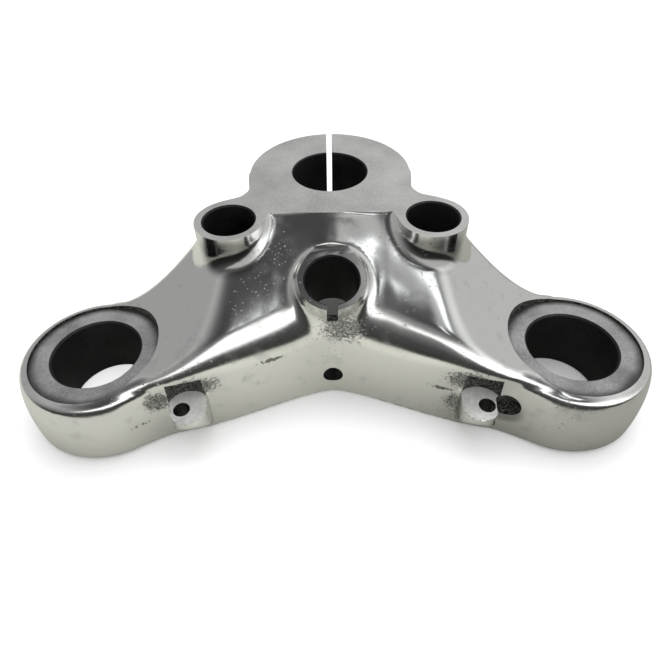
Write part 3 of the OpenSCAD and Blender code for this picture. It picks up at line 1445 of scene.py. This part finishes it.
@dataclass(frozen=True)
class Studio:
    """Light tent, ground and camera of the photo.

    Attributes:
        ground_z: Height of the ground in mm.
        ground_half: Half the ground's width in metres.
        focal_px: Focal length in the photo's pixels.
        frame_px: Width and height of the photo.
        centre_px: Where the optical axis meets the photo.
        angles: Yaw, pitch down and roll of the camera in degrees.
        eye: Place of the camera in mm.
        white: Strength of the background that the camera sees.
    """

    ground_z: float
    ground_half: float = 1.6
    focal_px: float = 530.4
    frame_px: float = 665
    centre_px: tuple[float, float] = (323.29, 333.0)
    angles: Triple = (-1.01, 46.3, -1.64)
    eye: Triple = (-1.05, -198.37, 111.39)
    white: float = 1.08

    def camera(self) -> None:
        """Place the camera measured from the photo's bores."""
        yaw, pitch, roll = (math.radians(a) for a in self.angles)
        level = math.cos(pitch)
        ahead = Vector((math.sin(yaw) * level, math.cos(yaw) * level, -math.sin(pitch)))
        right = Vector((math.cos(yaw), -math.sin(yaw), 0))
        up = right.cross(ahead)
        c, s = math.cos(roll), math.sin(roll)
        right, up = c * right + s * up, -s * right + c * up
        cam = bpy.data.cameras.new("camera")
        obj = add_object("camera", cam)
        turn = Matrix((right, up, -ahead)).transposed().to_4x4()
        obj.matrix_world = Matrix.Translation(Vector(self.eye) * MM) @ turn
        middle = self.frame_px / 2
        cam.sensor_width = 36.0
        cam.lens = self.focal_px / self.frame_px * cam.sensor_width
        cam.shift_x = (middle - self.centre_px[0]) / self.frame_px
        cam.shift_y = (self.centre_px[1] - middle) / self.frame_px
        cam.clip_start, cam.clip_end = 0.01, 20.0
        bpy.context.scene.camera = obj

    def _mirrored_ground(self, shade: Shade) -> bpy.types.NodeSocket:
        """Return the darker ground that the metal mirrors.

        Args:
            shade: The ground's shade.

        Returns:
            Its shader.
        """
        split = shade.add("ShaderNodeSeparateXYZ", {0: shade.place})
        x, y = (Val(shade, split.outputs[i]) for i in (0, 1))
        sheet = x.step(0.12, -0.03) * 0.2 + abs(x).step(0.06, 0.0) * 0.13 + 0.27
        sheet = y.step(-0.235, -0.165) * sheet + 0.03
        tone = shade.value("ShaderNodeCombineColor", {0: sheet, 1: sheet, 2: sheet * 0.91})
        matt = {"Roughness": 1.0, "Specular IOR Level": 0.0, "Base Color": tone}
        return shade.add("ShaderNodeBsdfPrincipled", matt).outputs[0]

    def ground(self) -> None:
        """Lay a white ground under the part, with painted shadow under the stem
        and painted light under the fork bores and in front.
        """
        s, z = self.ground_half, self.ground_z
        corners = np.array([(-s, -s), (s, -s), (s, s), (-s, s)])
        verts = np.column_stack([corners, np.full(4, z * MM)])
        obj = mesh_object("ground", verts, np.array([(0, 1, 2, 3)]))
        shade = Shade("ground")
        shade.set("Roughness", 0.9)
        shade.set("Specular IOR Level", 0.0)
        # painted shadow: a dark patch on the ground under the stem
        below = shade.near(Spot((0, -9, z), (34, 30, 30))).step(0.0, 0.5)
        shade.colour((0.93, 0.93, 0.93), (0.20, 0.20, 0.20), below)
        # painted light: the ground glows under the fork bores and in front of the part
        left = shade.near(Spot((-88, -60, z), (26, 26, 30))).step(0.0, 0.5) * 0.55
        right = shade.near(Spot((88, -60, z), (26, 26, 30))).step(0.0, 0.5) * 0.12
        front = shade.near(Spot((0, -112, z), (90, 52, 30))).step(0.0, 0.6) * 0.10
        painted_glow = left.most(right).most(front)
        shade.set("Emission Color", shade.value("ShaderNodeCombineColor", {0: painted_glow, 1: painted_glow, 2: painted_glow}))
        shade.set("Emission Strength", 1.0)
        seen = shade.add("ShaderNodeLightPath").outputs["Is Glossy Ray"]
        both = {0: seen, 1: shade.bsdf.outputs[0], 2: self._mirrored_ground(shade)}
        surface = shade.tree.nodes["Material Output"].inputs["Surface"]
        shade.fill(surface, shade.value("ShaderNodeMixShader", both))
        obj.data.materials.append(shade.mat)

    def card(self, name: str, at: Triple, size: tuple[float, float], power: float) -> None:
        """Hang a card that only reflections see, facing the part.

        Args:
            name: Card name.
            at: Centre in metres.
            size: Width and height in metres.
            power: Emission strength.
        """
        centre = Vector(at)
        face = centre.normalized().to_track_quat("Z", "Y")
        w, h = size[0] / 2, size[1] / 2
        corners = ((-w, -h, 0), (w, -h, 0), (w, h, 0), (-w, h, 0))
        points = np.array([centre + face @ Vector(p) for p in corners])
        obj = mesh_object(name, points, np.array([(0, 1, 2, 3)]))
        mat = bpy.data.materials.new(name)
        mat.use_nodes = True
        nodes = Nodes(mat.node_tree)
        nodes.tree.nodes.clear()
        light = {"Color": (0.95, 0.98, 1.0, 1), "Strength": power}
        glow = nodes.value("ShaderNodeEmission", light)
        nodes.add("ShaderNodeOutputMaterial", {"Surface": glow})
        obj.data.materials.append(mat)
        obj.visible_camera = obj.visible_diffuse = obj.visible_shadow = False

    def _tent(self, nodes: Nodes) -> Val:
        """Return how bright the tent is in each direction.

        Args:
            nodes: Nodes of the world's tree.

        Returns:
            The strength, from the direction's x, y and z.
        """
        coord = nodes.add("ShaderNodeTexCoord")
        split = nodes.add("ShaderNodeSeparateXYZ", {0: coord.outputs["Generated"]})
        x, y, z = (Val(nodes, o) for o in split.outputs)
        front = (-y).step(-0.1, 0.45)
        rear = (x.step(-0.7, 0.7) * 0.18 + 0.39) * (1 - front)
        tilted = z + x * 0.32
        strip = tilted.step(0.36, 0.46) * (z - x * 0.3).step(0.80, 0.64) * 1.3
        dusk = z.step(0.10, 0.60) * 0.20 + 0.055
        side = x.step(0.28, 0.55) * 0.50 + (-x).step(0.15, 0.60) * 0.14
        zenith = x.step(0.00, 0.09) * z.step(0.93, 0.975) * 0.46
        sky = z.step(0.62, 0.90) * (side + zenith + 0.055)
        return (rear + front * (strip + dusk)) * z.step(0.94, 0.72) + sky

    def world(self) -> None:
        """White for the camera and for diffuse light, shaded for reflections."""
        world = bpy.data.worlds.new("tent")
        bpy.context.scene.world = world
        world.use_nodes = True
        nodes = Nodes(world.node_tree)
        nodes.tree.nodes.clear()
        plain = {"Color": (1, 1, 1, 1), "Strength": self.white}
        shaded = {"Color": (0.985, 1.0, 1.0, 1), "Strength": self._tent(nodes)}
        seen = nodes.add("ShaderNodeLightPath").outputs["Is Glossy Ray"]
        both = [nodes.value("ShaderNodeBackground", look) for look in (plain, shaded)]
        pick = nodes.value("ShaderNodeMixShader", {0: seen, 1: both[0], 2: both[1]})
        nodes.add("ShaderNodeOutputWorld", {"Surface": pick})

    def lights(self) -> None:
        """Hang the soft light and the cards."""
        data = bpy.data.lights.new("overhead", "AREA")
        data.shape = "RECTANGLE"
        data.size, data.size_y, data.energy = 1.2, 0.8, 5.0
        obj = add_object("overhead", data)
        obj.matrix_world = Matrix.Translation((0.1, 0.35, 0.9))
        obj.rotation_euler = (math.radians(-20), 0, 0)
        obj.visible_glossy = False
        self.card("window_right", (0.28, -0.18, 0.95), (0.16, 0.22), 1.7)
        self.card("window_far", (0.10, -0.42, 0.90), (0.07, 0.16), 1.5)

    def build(self) -> None:
        """Build the whole setting."""
        self.camera()
        self.ground()
        self.world()
        self.lights()
        bpy.context.scene.view_settings.view_transform = "Standard"


def main() -> None:
    """Build the yoke, hand it to the frame and set up the photo."""
    logging.basicConfig(level=logging.INFO, format="%(message)s")
    for obj in list(bpy.data.objects):
        bpy.data.objects.remove(obj)
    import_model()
    dims = Dims()
    yoke = Yoke(dims).build()
    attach(yoke, "root")
    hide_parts("top_yoke")
    ground_gap = 0.05
    Studio(-dims.top_z - ground_gap).build()


if __name__ == "__main__":
    main()
